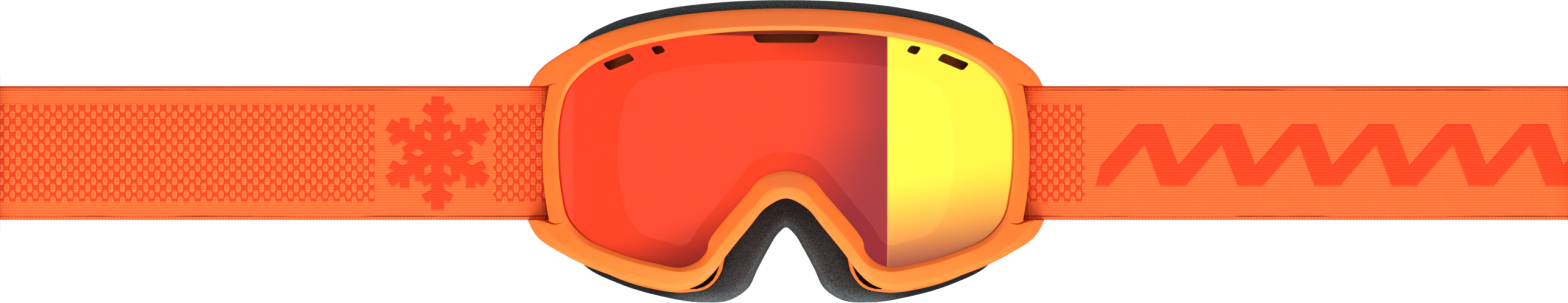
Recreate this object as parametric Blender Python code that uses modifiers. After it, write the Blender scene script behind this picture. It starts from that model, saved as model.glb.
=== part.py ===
"""Ski goggles with a moulded frame, a double cylindrical lens, layered face foam and a split strap.

+Z is up, the lens faces -Y, and +X is on the right seen from the front. The origin is on the
mid plane, level with the two pins that the strap's sewn loops turn on.
"""

import math

import bmesh
import bpy
from mathutils import Euler, Matrix, Vector

MM = 0.001  # every size below is in millimetres

# Driving dimensions.
STRAP_HEIGHT = 40.0
WEBBING = 1.5
FIT_GAP = 0.3
RIM_RADIUS = 105.0
RIM_FRONT_Y = -37.5
FACE_RADIUS = 95.0
FACE_MIDDLE_Y = -12.0
WALL = 2.2
LAYER_GAP = 0.5  # between curved layers, whose facets bulge

# Depths under the rim's front surface, from the front lip to the back of the inner lens.
LIP_BACK = 1.2
LENS_FRONT, LENS_BACK = 1.45, 2.95
GROOVE_BACK = 3.2
GASKET_FRONT, GASKET_BACK = 3.3, 4.8
REAR_LIP_BACK = 4.6
INNER_LENS_FRONT, INNER_LENS_BACK = 5.1, 6.1
VENT_PAD_BACK = 5.6

# The strap's loop, its pin and the slot for it in the frame.
PIN_X = 73.2
PIN_RADIUS = 1.25
PIN_HALF_LENGTH = 21.7
LOOP_INNER = 1.5
LOOP_STITCHED_X = 82.0
LOOP_TAIL_X = 92.0
SLOT_HALF_HEIGHT = 20.35
SLOT_INNER_X = 69.75
BAR_BACK_Y = -3.4
BAR_EDGE_X = 72.6
BAR_CURVE_RADIUS = 100.0

# Stations along the strap, measured from the mid plane.
WRAP_X = 224.0
WRAP_GAP = 0.9
SLIDER_X = 243.0
TAIL_END_X = 266.0
FOLD_X = 270.0
PLATE_X = 274.5
MOUTH_X = 291.0
FOLD_INNER = 2.4
FOLD_Y = FOLD_INNER

# Outlines seen from the front: the +X half of each, from the top centre round to the nose.
# Points with the same index face each other across the ring.
RIM_OUTER = [
    (0, 42.8), (19, 42.1), (37.5, 39.9), (54, 35.5), (66.5, 29.9), (74.6, 23.6), (78.2, 16),
    (79.2, 0), (78.2, -17), (74.6, -24.6), (66.5, -30.1), (53, -36), (41, -39.5), (31, -40.7),
    (25, -38.6), (21.2, -35.1), (18.1, -30.9), (10.6, -21.6), (6, -16.2), (0, -13.4),
]
LENS_OPENING = [
    (0, 36.3), (18.5, 35.7), (35.9, 33.5), (49.5, 30), (59.9, 24.4), (64.9, 18.8),
    (67.3, 10.5), (67.8, 0), (66.9, -11.5), (64.9, -19.4), (60.6, -24.5), (50.8, -29.3),
    (38.8, -32.7), (30.1, -33.8), (25.4, -31.5), (23.3, -28.6), (22.9, -26.3), (12.2, -12.9),
    (7, -7.2), (0, -5.4),
]
SKIRT = [
    (0, 41.6), (18.7, 40.9), (36.7, 38.7), (52, 34.6), (62, 28.2), (67.2, 21), (69.3, 12),
    (69.7, 0), (69.3, -13), (67.2, -22), (62.3, -29.4), (51.5, -35.3), (39.9, -38.9),
    (30.3, -40.1), (25.4, -38), (21.7, -34.6), (18.6, -30.4), (11.3, -21), (6.6, -15.6),
    (0, -12.7),
]
FLANGE = [
    (0, 42.3), (18.8, 41.6), (36.9, 39.4), (52.3, 35.2), (62.4, 28.7), (67.8, 21.3), (70, 12.1),
    (70.4, 0), (70, -13.1), (67.8, -22.3), (62.7, -30), (52.1, -36.5), (40.1, -40.3),
    (29.5, -41.4), (23.1, -39.9), (19.5, -35.5), (18.3, -31.1), (11.1, -21.1), (6.3, -15.7),
    (0, -12.9),
]
INNER_LENS_EDGE = [
    (0, 30.9), (16, 30.4), (31, 28.9), (43, 25.9), (51.5, 22), (55.8, 16.5), (57.7, 9.5),
    (58.2, 0), (57.6, -10), (56, -17.5), (52.5, -22.5), (45, -27), (37, -29.6), (29.8, -30.8),
    (25.9, -28.6), (23.2, -24.4), (17.6, -17.6), (11.8, -10.4), (6.8, -4.9), (0, -3.2),
]
FACE_OPENING = [
    (0, 28.1), (15, 27.6), (30, 26), (41, 23.3), (46.8, 18.8), (49.2, 12), (50.2, 5),
    (50.3, -3), (49.3, -12), (47.2, -19), (42.5, -24.8), (36, -28.1), (30.5, -29),
    (26.5, -28), (23.3, -24.5), (20.6, -20.5), (16.8, -14.8), (12.4, -9.2), (7.1, -3.8),
    (0, -1.6),
]
FOAM_OUTER = [
    (0, 45.6), (19.2, 45), (37.4, 42.8), (52, 39), (61.5, 33.6), (66.3, 26.5), (68.3, 16),
    (68.8, 0), (68.2, -14), (66, -26), (60.5, -33.7), (50, -39.1), (37.4, -42.8), (25, -44.6),
    (16.5, -43.8), (11.4, -40.4), (8.3, -34.3), (5, -28.2), (2.5, -24.2), (0, -22.2),
]
STEPS_PER_SPAN = 2

# Openings moulded through the outer lens, as corners of the +X one (the middle one is whole).
CENTRE_VENT = [(-10.1, 35.2), (10.1, 35.2), (8.7, 32.6), (-8.7, 32.6)]
SMALL_VENT = [(35.6, 30.1), (37, 32), (40.2, 31.4), (38.6, 29)]
LARGE_VENT = [(44.8, 27.6), (46.6, 29.7), (54.5, 26.6), (52.5, 24.4)]

# At each lower nose corner the flange stands out as a rib, with a gap between it and the rim.
CORNER_GAP = [
    (19.8, -32.9), (20, -34.2), (20.7, -36), (21.7, -37.7), (22.9, -38.9), (24.5, -39.9),
    (26.5, -40.5), (28.6, -40.6), (28.5, -40.2), (26.7, -39.3), (25.2, -38.3), (23.2, -36.5),
    (21.5, -34.9), (20.3, -33.3),
]

# Windows through the frame's skirt: distance from the mid plane, width, and 1 for top or -1.
SKIRT_WINDOWS = [(9.5, 14, 1), (27, 14, 1), (43.5, 12, 1), (30, 12, -1), (46, 12, -1)]

COLOURS = {
    "frame_orange": ((0.90, 0.22, 0.045, 1), 0.42, 0),
    "lens_red": ((0.85, 0.07, 0.03, 1), 0.08, 0.6),
    "lens_clear": ((0.75, 0.62, 0.45, 1), 0.05, 0),
    "foam_grey": ((0.055, 0.055, 0.057, 1), 0.95, 0),
    "fleece_black": ((0.02, 0.02, 0.022, 1), 1.0, 0),
    "vent_brown": ((0.08, 0.025, 0.01, 1), 0.95, 0),
    "webbing_orange": ((0.95, 0.17, 0.04, 1), 0.85, 0),
    "clip_black": ((0.02, 0.02, 0.02, 1), 0.45, 0),
    "pin_steel": ((0.6, 0.6, 0.6, 1), 0.3, 1),
}


def clear_scene():
    for item in list(bpy.data.objects):
        bpy.data.objects.remove(item, do_unlink=True)
    for group in list(bpy.data.collections):
        bpy.data.collections.remove(group)


def new_collection(name):
    group = bpy.data.collections.new(name)
    bpy.context.scene.collection.children.link(group)
    return group


def make_material(name):
    colour, roughness, metallic = COLOURS[name]
    material = bpy.data.materials.get(name) or bpy.data.materials.new(name)
    material.use_nodes = True
    shader = material.node_tree.nodes["Principled BSDF"]
    shader.inputs["Base Color"].default_value = colour
    shader.inputs["Roughness"].default_value = roughness
    shader.inputs["Metallic"].default_value = metallic
    return material


def add_mesh(name, mesh, material, smooth_angle=35):
    """Links a mesh as a shown part, or as a hidden cutter when it has no material."""
    item = bpy.data.objects.new(name, mesh)
    if material:
        parts.objects.link(item)
        mesh.materials.append(make_material(material))
        mesh.shade_smooth()
        mesh.set_sharp_from_angle(angle=math.radians(smooth_angle))
    else:
        cutters.objects.link(item)
        item.hide_render = True
        item.display_type = "WIRE"
    return item


def combine(item, other, operation):
    """Adds an EXACT Boolean of another object to item."""
    step = item.modifiers.new(f"{operation.lower()} {other.name}", "BOOLEAN")
    step.operation = operation
    step.solver = "EXACT"
    step.object = other


def cut(item, *others):
    for other in others:
        combine(item, other, "DIFFERENCE")


def join(item, *others):
    for other in others:
        combine(item, other, "UNION")


# Curved surfaces.

def rim_y(x, depth=0.0):
    """Y of the cylinder that lies a depth under the rim's front, at a distance x from the middle."""
    return RIM_FRONT_Y + RIM_RADIUS - math.sqrt((RIM_RADIUS - depth) ** 2 - x * x)


def face_y(x):
    """Y of the frame's back, where the face foam is glued."""
    return FACE_MIDDLE_Y + FACE_RADIUS - math.sqrt(FACE_RADIUS**2 - x * x)


def rim_edge_y(x):
    """Y of the rim's outer edge: the rim falls back from its lip, less so at the sides."""
    return rim_y(x) + 4.0 - 2.5 * (x / 79) ** 2


def rim_back_y(x):
    """Y of the rim's back, deepest in the side lobes that carry the strap pins."""
    return rim_edge_y(x) + 4.0 + 2.0 * (x / 79) ** 2


# Outlines.

def smooth_half(points):
    """A smooth curve through the half outline's points, level where it meets the mid plane."""
    flip = Vector((-1, 1))
    knots = [Vector(p) for p in points]
    knots = [knots[1] * flip, *knots, knots[-2] * flip]
    curve = []
    for before, start, end, after in zip(knots, knots[1:], knots[2:], knots[3:]):
        span = (end - start).length
        lead, follow = (start - before).length, (after - end).length
        pull, push = min(span, 2.5 * lead), min(span, 2.5 * follow)
        leave = ((end - start) / span * lead + (start - before) / lead * span) / (lead + span)
        arrive = ((after - end) / follow * span + (end - start) / span * follow) / (span + follow)
        for step in range(STEPS_PER_SPAN):
            t = step / STEPS_PER_SPAN
            curve.append(
                start * (2 * t**3 - 3 * t**2 + 1) + leave * pull * (t**3 - 2 * t**2 + t)
                + end * (3 * t**2 - 2 * t**3) + arrive * push * (t**3 - t**2)
            )
    return curve + [knots[-2]]


def ring(points, offset=0.0):
    """The whole outline, clockwise seen from the front, moved outwards by offset."""
    half = smooth_half(points)
    loop = half + [Vector((-p.x, p.y)) for p in half[-2:0:-1]]
    if not offset:
        return loop
    moved = []
    for i, point in enumerate(loop):
        along = (loop[(i + 1) % len(loop)] - loop[i - 1]).normalized()
        moved.append(point + Vector((-along.y, along.x)) * offset)
    return moved


def loft(name, sections, material, closed=True):
    """A solid through sections of equal length; an open one gets flat ends."""
    bm = bmesh.new()
    rows = [[bm.verts.new(Vector(p) * MM) for p in section] for section in sections]
    pairs = list(zip(rows, rows[1:]))
    if closed:
        pairs.append((rows[-1], rows[0]))
    for row, following in pairs:
        for i in range(len(row)):
            bm.faces.new((row[i - 1], row[i], following[i], following[i - 1]))
    if not closed:
        bm.faces.new(rows[0])
        bm.faces.new(rows[-1])
    bmesh.ops.recalc_face_normals(bm, faces=bm.faces)
    mesh = bpy.data.meshes.new(name)
    bm.to_mesh(mesh)
    bm.free()
    return add_mesh(name, mesh, material)


def plate(name, outlines, low, high, plane, material=None, smooth_angle=35):
    """A flat outline with any holes, extruded from low to high.

    plane XZ extrudes along Y, and plane XY along Z.
    """
    curve = bpy.data.curves.new(name, "CURVE")
    curve.dimensions = "2D"
    curve.fill_mode = "BOTH"
    curve.extrude = (high - low) / 2 * MM
    for outline in outlines:
        spline = curve.splines.new("POLY")
        spline.points.add(len(outline) - 1)
        for point, (u, v) in zip(spline.points, outline):
            point.co = (u * MM, v * MM, 0, 1)
        spline.use_cyclic_u = True
    middle = (low + high) / 2 * MM
    guide = bpy.data.objects.new(f"{name}_curve", curve)
    if plane == "XZ":
        guide.matrix_world = Matrix.Translation((0, middle, 0)) @ Matrix.Rotation(math.pi / 2, 4, "X")
    else:
        guide.matrix_world = Matrix.Translation((0, 0, middle))
    cutters.objects.link(guide)
    bpy.context.view_layer.update()
    evaluated = guide.evaluated_get(bpy.context.evaluated_depsgraph_get())
    mesh = bpy.data.meshes.new_from_object(evaluated)
    mesh.name = name
    mesh.transform(guide.matrix_world)
    bpy.data.objects.remove(guide, do_unlink=True)
    bm = bmesh.new()
    bm.from_mesh(mesh)
    bmesh.ops.remove_doubles(bm, verts=bm.verts, dist=0.00001)
    bmesh.ops.recalc_face_normals(bm, faces=bm.faces)
    bm.to_mesh(mesh)
    bm.free()
    return add_mesh(name, mesh, material, smooth_angle)


def block(name, low, high, material=None, turn=0.0, bevel=0.0):
    """A box between two corners, turned about its own vertical axis."""
    low, high = Vector(low), Vector(high)
    bm = bmesh.new()
    bmesh.ops.create_cube(bm, size=1)
    size = (high - low) * MM
    spin = Euler((0, 0, turn)).to_matrix().to_4x4()
    place = Matrix.Translation((low + high) / 2 * MM) @ spin @ Matrix.Diagonal((*size, 1))
    bmesh.ops.transform(bm, matrix=place, verts=bm.verts)
    mesh = bpy.data.meshes.new(name)
    bm.to_mesh(mesh)
    bm.free()
    item = add_mesh(name, mesh, material)
    if bevel:
        rounding = item.modifiers.new("rounded edges", "BEVEL")
        rounding.width = bevel * MM
        rounding.segments = 2
    return item


def upright_rod(name, x, y, radius, half_length, material=None, sides=20):
    """A vertical cylinder centred on the strap's mid height."""
    bm = bmesh.new()
    bmesh.ops.create_cone(
        bm, cap_ends=True, segments=sides, radius1=radius * MM, radius2=radius * MM,
        depth=2 * half_length * MM,
    )
    bmesh.ops.translate(bm, vec=(x * MM, y * MM, 0), verts=bm.verts)
    mesh = bpy.data.meshes.new(name)
    bm.to_mesh(mesh)
    bm.free()
    return add_mesh(name, mesh, material)


def curved_sheet(name, depth_front, depth_back, half_width=74, columns=44):
    """The full-height shell between two of the rim's concentric cylinders, open at no side."""
    sections = []
    for column in range(columns + 1):
        x = half_width * (2 * column / columns - 1)
        front, back = rim_y(x, depth_front), rim_y(x, depth_back)
        sections.append([(x, front, -60), (x, back, -60), (x, back, 60), (x, front, 60)])
    return sections


def arc(centre, radius, start, end, steps):
    """Points on a circle from one angle to another, in degrees."""
    turns = [math.radians(start + (end - start) * i / steps) for i in range(steps + 1)]
    return [(centre[0] + radius * math.cos(a), centre[1] + radius * math.sin(a)) for a in turns]


def flip_x(outline, side):
    return [(side * u, v) for u, v in outline]


def rounded(outline, radius, steps=3):
    """Rounds each corner of a polygon with a short arc-like curve."""
    result = []
    for i, corner in enumerate(outline):
        corner = Vector(corner)
        to_last = (Vector(outline[i - 1]) - corner)
        to_next = (Vector(outline[(i + 1) % len(outline)]) - corner)
        reach = min(radius, 0.45 * to_last.length, 0.45 * to_next.length)
        start = corner + to_last.normalized() * reach
        end = corner + to_next.normalized() * reach
        for step in range(steps + 1):
            t = step / steps
            result.append(tuple(start.lerp(corner, t).lerp(corner.lerp(end, t), t)))
    return result


# Parts.

def frame_sections():
    """Cross-sections of the frame's moulding, round the ring."""
    lens_edge = ring(LENS_OPENING)
    crest = ring(LENS_OPENING, 0.7)
    shoulder = ring(LENS_OPENING, 1.5)
    groove = ring(LENS_OPENING, 2.5)
    outer = ring(RIM_OUTER)
    skirt = ring(SKIRT)
    skirt_inner = ring(SKIRT, -WALL)
    flange = ring(FLANGE)
    opening = ring(FACE_OPENING, 1.5)
    sections = []
    for i in range(len(lens_edge)):
        back = rim_back_y(abs(outer[i].x))
        middle = flange[i].lerp(opening[i], 0.5)
        places = [
            (lens_edge[i], rim_y(lens_edge[i].x, 0.2)),
            (crest[i], rim_y(crest[i].x, -0.6)),
            (shoulder[i], rim_y(shoulder[i].x, -0.3)),
            (outer[i], rim_edge_y(outer[i].x)),
            (outer[i], back),
            (skirt[i], back),
            (skirt[i], face_y(skirt[i].x) - WALL),
            (flange[i], face_y(flange[i].x) - WALL),
            (flange[i], face_y(flange[i].x)),
            (middle, face_y(middle.x)),
            (opening[i], face_y(opening[i].x)),
            (opening[i], face_y(opening[i].x) - WALL),
            (skirt_inner[i], face_y(skirt_inner[i].x) - WALL),
            (skirt_inner[i], rim_y(skirt_inner[i].x, REAR_LIP_BACK) + 0.6),
            (crest[i], rim_y(crest[i].x, REAR_LIP_BACK)),
            (crest[i], rim_y(crest[i].x, GROOVE_BACK)),
            (groove[i], rim_y(groove[i].x, GROOVE_BACK)),
            (groove[i], rim_y(groove[i].x, LIP_BACK)),
            (lens_edge[i], rim_y(lens_edge[i].x, LIP_BACK)),
        ]
        sections.append([(point.x, y, point.y) for point, y in places])
    return sections


def window_cutter(side, distance, width, up):
    """A slanted block that opens the skirt between the rim and the face flange."""
    x = side * distance
    front, back = rim_back_y(distance) + 1.0, face_y(distance) - WALL - 0.4
    slope = math.atan2(x, math.sqrt(RIM_RADIUS**2 - x * x))
    height = 38 * up
    name = f"window_{'left' if side < 0 else 'right'}_{'top' if up > 0 else 'bottom'}_{distance:.0f}"
    low = (x - width / 2, front, height - 9)
    high = (x + width / 2, back, height + 9)
    return block(name, low, high, turn=slope)


def slot_cutters(side, name):
    """Frees the bar's outer edge in front, and the space behind it for the strap's loop."""
    swing = math.degrees(math.asin(SLOT_HALF_HEIGHT / BAR_CURVE_RADIUS))
    edge = arc((BAR_EDGE_X - BAR_CURVE_RADIUS, 0), BAR_CURVE_RADIUS, -swing, swing, 12)
    front = edge + [(95, SLOT_HALF_HEIGHT), (95, -SLOT_HALF_HEIGHT)]
    bar = plate(f"{name}_bar_edge", [flip_x(front, side)], -45, BAR_BACK_Y + 0.1, "XZ")
    corners = sorted((side * SLOT_INNER_X, side * 95))
    pocket = block(
        f"{name}_pocket", (corners[0], BAR_BACK_Y, -SLOT_HALF_HEIGHT),
        (corners[1], 45, SLOT_HALF_HEIGHT),
    )
    hole = upright_rod(f"{name}_pin_hole", side * PIN_X, 0, PIN_RADIUS + FIT_GAP,
                       PIN_HALF_LENGTH + FIT_GAP)
    return bar, pocket, hole


def make_frame():
    frame = loft("frame", frame_sections(), "frame_orange")
    for side, name in SIDES:
        cut(frame, *slot_cutters(side, name))
        for distance, width, up in SKIRT_WINDOWS:
            cut(frame, window_cutter(side, distance, width, up))
        cut(frame, plate(f"{name}_corner_gap", [flip_x(CORNER_GAP, side)], -14, 0, "XZ"))


def vent_cutters():
    cutters_made = [plate("centre_vent", [rounded(CENTRE_VENT, 1.2)], -50, 10, "XZ")]
    for side, name in SIDES:
        for label, corners in (("small", SMALL_VENT), ("large", LARGE_VENT)):
            outline = flip_x(rounded(corners, 0.95), side)
            cutters_made.append(plate(f"{name}_{label}_vent", [outline], -50, 10, "XZ"))
    return cutters_made


def make_lens(name, outline, front, back, material, vents=()):
    lens = loft(name, curved_sheet(name, front, back), material, closed=False)
    edge = plate(f"{name}_edge", [[tuple(p) for p in outline]], -60, 40, "XZ")
    combine(lens, edge, "INTERSECT")
    cut(lens, *vents)


def band(name, outer, inner, front, back, material, stations=None, chamfer=0.0):
    """A ring, or a stretch of one, between two outlines and two surfaces given as functions of x.

    A chamfer, as a share of the band's width, narrows its back.
    """
    count = len(outer)
    picked = range(count) if stations is None else stations
    sections = []
    for station in picked:
        out, inn = outer[station % count], inner[station % count]
        section = [(p, front(p.x)) for p in (inn, inn.lerp(out, 0.5), out)]
        if chamfer:
            section.append((out, front(out.x) * 0.35 + back(out.x) * 0.65))
        section += [(p, back(p.x)) for p in (out.lerp(inn, s) for s in (chamfer, 0.5, 1 - chamfer))]
        if chamfer:
            section.append((inn, front(inn.x) * 0.35 + back(inn.x) * 0.65))
        sections.append([(p.x, y, p.y) for p, y in section])
    return loft(name, sections, material, closed=stations is None)


def at_depth(depth):
    return lambda x: rim_y(x, depth)


def behind_face(distance):
    return lambda x: face_y(x) + distance


def make_lens_pack():
    make_lens("outer_lens", ring(LENS_OPENING, 2.2), LENS_FRONT, LENS_BACK, "lens_red", vent_cutters())
    make_lens("inner_lens", ring(INNER_LENS_EDGE), INNER_LENS_FRONT, INNER_LENS_BACK, "lens_clear")
    band("lens_gasket", ring(INNER_LENS_EDGE), ring(INNER_LENS_EDGE, -3.5),
         at_depth(GASKET_FRONT), at_depth(GASKET_BACK), "foam_grey")
    reach = 8
    band("lens_vent_foam", ring(LENS_OPENING, 0.3), ring(INNER_LENS_EDGE, 0.4),
         at_depth(GASKET_FRONT), at_depth(VENT_PAD_BACK), "vent_brown", range(-reach, reach + 1))


def skirt_foam(name, first, last):
    """A foam strip glued inside the skirt, under its windows."""
    outer, inner = ring(SKIRT, -WALL - FIT_GAP), ring(SKIRT, -WALL - FIT_GAP - 2.5)
    band(name, outer, inner, lambda x: rim_back_y(abs(x)) + 2.0,
         lambda x: face_y(x) - WALL - FIT_GAP - 0.4, "vent_brown", range(first, last + 1))


def make_foams():
    skirt_foam("top_vent_foam", -7, 7)
    skirt_foam("right_bottom_vent_foam", 21, 29)
    count = len(ring(SKIRT))
    skirt_foam("left_bottom_vent_foam", count - 29, count - 21)
    band("face_foam_base", ring(FOAM_OUTER), ring(FACE_OPENING), behind_face(LAYER_GAP),
         behind_face(9), "foam_grey")
    band("face_foam_comfort", ring(FOAM_OUTER, -0.4), ring(FACE_OPENING, 0.4),
         behind_face(9 + LAYER_GAP), behind_face(14.5), "foam_grey", chamfer=0.12)
    band("face_fleece", ring(FOAM_OUTER, -2.6), ring(FACE_OPENING, 2.6),
         behind_face(14.5 + LAYER_GAP), behind_face(16), "fleece_black")


def strap_front_outline():
    """The sewn loop round the pin and the webbing out to where the strap bends round the head."""
    outer = LOOP_INNER + WEBBING
    end = WRAP_X - WRAP_GAP
    lean = math.degrees(math.acos((outer - WEBBING) / (LOOP_STITCHED_X - PIN_X)))
    outline = arc((PIN_X, 0), outer, lean, 360 - lean, 20)
    outline += [(LOOP_STITCHED_X, -WEBBING), (end, -WEBBING), (end, 0), (LOOP_TAIL_X, 0)]
    outline += [(LOOP_TAIL_X, WEBBING), (LOOP_STITCHED_X, WEBBING)]
    hole = arc((PIN_X, 0), LOOP_INNER, lean, 360 - lean, 16) + [(LOOP_STITCHED_X - 1.5, 0)]
    return outline, hole


def strap_rear_outline():
    """The webbing from the head's bend to the buckle, and its fold round the buckle's bar."""
    start = WRAP_X + WRAP_GAP
    outer = FOLD_INNER + WEBBING
    outline = [(start, 0), (start, -WEBBING)]
    outline += arc((FOLD_X, FOLD_Y), outer, -90, 90, 14)
    outline += [(TAIL_END_X + FIT_GAP, FOLD_Y + outer), (TAIL_END_X + FIT_GAP, FOLD_Y + FOLD_INNER)]
    outline += arc((FOLD_X, FOLD_Y), FOLD_INNER, 90, -90, 12)
    return outline


SLIDER_BAR_RADIUS = 1.2
SLIDER_BAR_Y = FOLD_Y + FOLD_INNER - LOOP_INNER
SLIDER_HALF_WIDTH = 8.0
RAIL_INNER, RAIL_OUTER = STRAP_HEIGHT / 2 + 0.6, STRAP_HEIGHT / 2 + 3.6


def strap_tail_outline():
    """The returning layer, sewn round the slider's middle bar."""
    centre = (SLIDER_X, SLIDER_BAR_Y)
    outer = LOOP_INNER + WEBBING
    outline = [(TAIL_END_X, SLIDER_BAR_Y + LOOP_INNER), (TAIL_END_X, SLIDER_BAR_Y + outer)]
    outline += arc(centre, outer, 90, 270, 14)
    outline += [(SLIDER_X + 7, SLIDER_BAR_Y - outer), (SLIDER_X + 7, SLIDER_BAR_Y - LOOP_INNER)]
    outline += arc(centre, LOOP_INNER, 270, 90, 12)
    return outline


def webbing(name, outlines, side):
    """A length of webbing: its edge-on outline, raised to the strap's height."""
    mirrored = [flip_x(outline, side) for outline in outlines]
    plate(name, mirrored, -STRAP_HEIGHT / 2, STRAP_HEIGHT / 2, "XY", "webbing_orange")


def make_slider(side, name):
    """Two rails, two outer bars in front of the webbing and one bar behind it for the tail."""
    def reach(near, far):
        return sorted((side * near, side * far))

    front_y, bar_back_y = -WEBBING - 2.7, -WEBBING - FIT_GAP
    left, right = SLIDER_X - SLIDER_HALF_WIDTH, SLIDER_X + SLIDER_HALF_WIDTH
    span = reach(left, right)
    slider = block(name, (span[0], front_y, RAIL_INNER), (span[1], SLIDER_BAR_Y + 1.2, RAIL_OUTER),
                   "clip_black")
    lower = block(f"{name}_lower_rail", (span[0], front_y, -RAIL_OUTER),
                  (span[1], SLIDER_BAR_Y + 1.2, -RAIL_INNER))
    bars = []
    for label, near in (("near", left), ("far", right - 3)):
        x = reach(near, near + 3)
        bars.append(block(f"{name}_{label}_bar", (x[0], front_y, -RAIL_INNER - 1),
                          (x[1], bar_back_y, RAIL_INNER + 1)))
    middle = upright_rod(f"{name}_middle_bar", side * SLIDER_X, SLIDER_BAR_Y, SLIDER_BAR_RADIUS,
                         RAIL_INNER + 1)
    join(slider, *bars, lower, middle)


def buckle_anchor(side, name):
    """The webbing bar and the two rails that hold it, as pieces to join to a buckle half."""
    x = sorted((side * (FOLD_X - 3), side * (PLATE_X + 1)))
    rails = []
    for label, low, high in (("upper", RAIL_INNER, RAIL_OUTER), ("lower", -RAIL_OUTER, -RAIL_INNER)):
        rails.append(block(f"{name}_{label}_rail", (x[0], FOLD_Y - 2.4, low), (x[1], FOLD_Y + 2.4, high)))
    bar = upright_rod(f"{name}_bar", side * FOLD_X, FOLD_Y, FOLD_INNER - FIT_GAP, RAIL_INNER + 1)
    return [*rails, bar]


def make_socket(side):
    """The buckle's socket half: a flat box, open at its mouth, with a window for each barb."""
    name = "buckle_socket"
    outside = sorted((side * PLATE_X, side * MOUTH_X))
    inside = sorted((side * (PLATE_X + 3.5), side * (MOUTH_X + 1)))
    catch = sorted((side * (PLATE_X + 6), side * (PLATE_X + 12)))
    socket = block(name, (outside[0], FOLD_Y - 4.9, -RAIL_OUTER), (outside[1], FOLD_Y + 4.9, RAIL_OUTER),
                   "clip_black")
    join(socket, *buckle_anchor(side, name))
    cut(
        socket,
        block(f"{name}_cavity", (inside[0], FOLD_Y - 2.6, -17), (inside[1], FOLD_Y + 2.6, 17)),
        block(f"{name}_catches", (catch[0], FOLD_Y - 2.2, -30), (catch[1], FOLD_Y + 2.2, 30)),
    )


PRONG_ROOT_X, PRONG_ROOT_Z = PLATE_X + 6.3, 10.5
PRONG_HALF_ROOT = 1.8


def prong_outline():
    """One prong: round at its root, straight along its inner side, with a barb near its tip."""
    x, z = PRONG_ROOT_X, PRONG_ROOT_Z
    root = arc((x, z), PRONG_HALF_ROOT, 90, 270, 10)
    inner = [(MOUTH_X - 1, z - 0.6), (MOUTH_X, z + 0.6)]
    barb = [(MOUTH_X - 1.5, z + 4.2), (MOUTH_X - 5.5, z + 7.6), (MOUTH_X - 5.5, z + 2.4)]
    return root + inner + barb


def make_plug(side):
    """The buckle's plug half: a plate with a guide tongue, and two prongs that flex inwards."""
    name = "buckle_plug"
    plate_x = sorted((side * PLATE_X, side * (PLATE_X + 4)))
    tongue_x = sorted((side * (PLATE_X + 3), side * (MOUTH_X - 1.5)))
    plug = block(name, (plate_x[0], FOLD_Y - 2.4, -RAIL_OUTER), (plate_x[1], FOLD_Y + 2.4, RAIL_OUTER),
                 "clip_black")
    tongue = block(f"{name}_tongue", (tongue_x[0], FOLD_Y - 1.5, -3), (tongue_x[1], FOLD_Y + 1.5, 3))
    join(plug, *buckle_anchor(side, name), tongue)
    for label, up in (("upper_prong", 1), ("lower_prong", -1)):
        outline = [(side * u, up * v) for u, v in prong_outline()]
        plate(label, [outline], FOLD_Y - 1.9, FOLD_Y + 1.9, "XZ", "clip_black")


def make_strap(side, name):
    upright_rod(f"{name}_strap_pin", side * PIN_X, 0, PIN_RADIUS, PIN_HALF_LENGTH, "pin_steel", 24)
    webbing(f"{name}_strap_front", strap_front_outline(), side)
    webbing(f"{name}_strap_rear", [strap_rear_outline()], side)
    webbing(f"{name}_strap_tail", [strap_tail_outline()], side)
    make_slider(side, f"{name}_slider")


def set_origin(name, x, y, z=0.0):
    """Puts a moving piece's origin on its joint's axis, leaving the piece where it is."""
    item = bpy.data.objects[name]
    move = Vector((x, y, z)) * MM
    item.data.transform(Matrix.Translation(-move))
    item.location = move


def set_joint_origins():
    for side, name in SIDES:
        set_origin(f"{name}_strap_front", side * PIN_X, 0)
        set_origin(f"{name}_strap_rear", side * WRAP_X, -WEBBING / 2)
        set_origin(f"{name}_strap_tail", side * SLIDER_X, SLIDER_BAR_Y)
        set_origin(f"{name}_slider", side * SLIDER_X, SLIDER_BAR_Y)
    set_origin("buckle_socket", -WRAP_X, -WEBBING / 2)
    set_origin("buckle_plug", WRAP_X, -WEBBING / 2)
    for label, up in (("upper_prong", 1), ("lower_prong", -1)):
        set_origin(label, PRONG_ROOT_X, FOLD_Y, up * PRONG_ROOT_Z)


SIDES = ((-1, "left"), (1, "right"))

clear_scene()
parts = new_collection("ski_goggles")
cutters = new_collection("cutters")
make_frame()
make_lens_pack()
make_foams()
for strap_side, side_name in SIDES:
    make_strap(strap_side, side_name)
make_socket(-1)
make_plug(1)
set_joint_origins()
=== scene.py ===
"""Looks for the ski goggles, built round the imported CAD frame.

+Z is up, the lens faces -Y, and +X is on the right seen from the front. Lengths are in
millimetres and are scaled by MM where they become mesh points.
"""

import math

import bmesh
import bpy
import numpy as np
from mathutils import Matrix, Vector, noise


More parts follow.
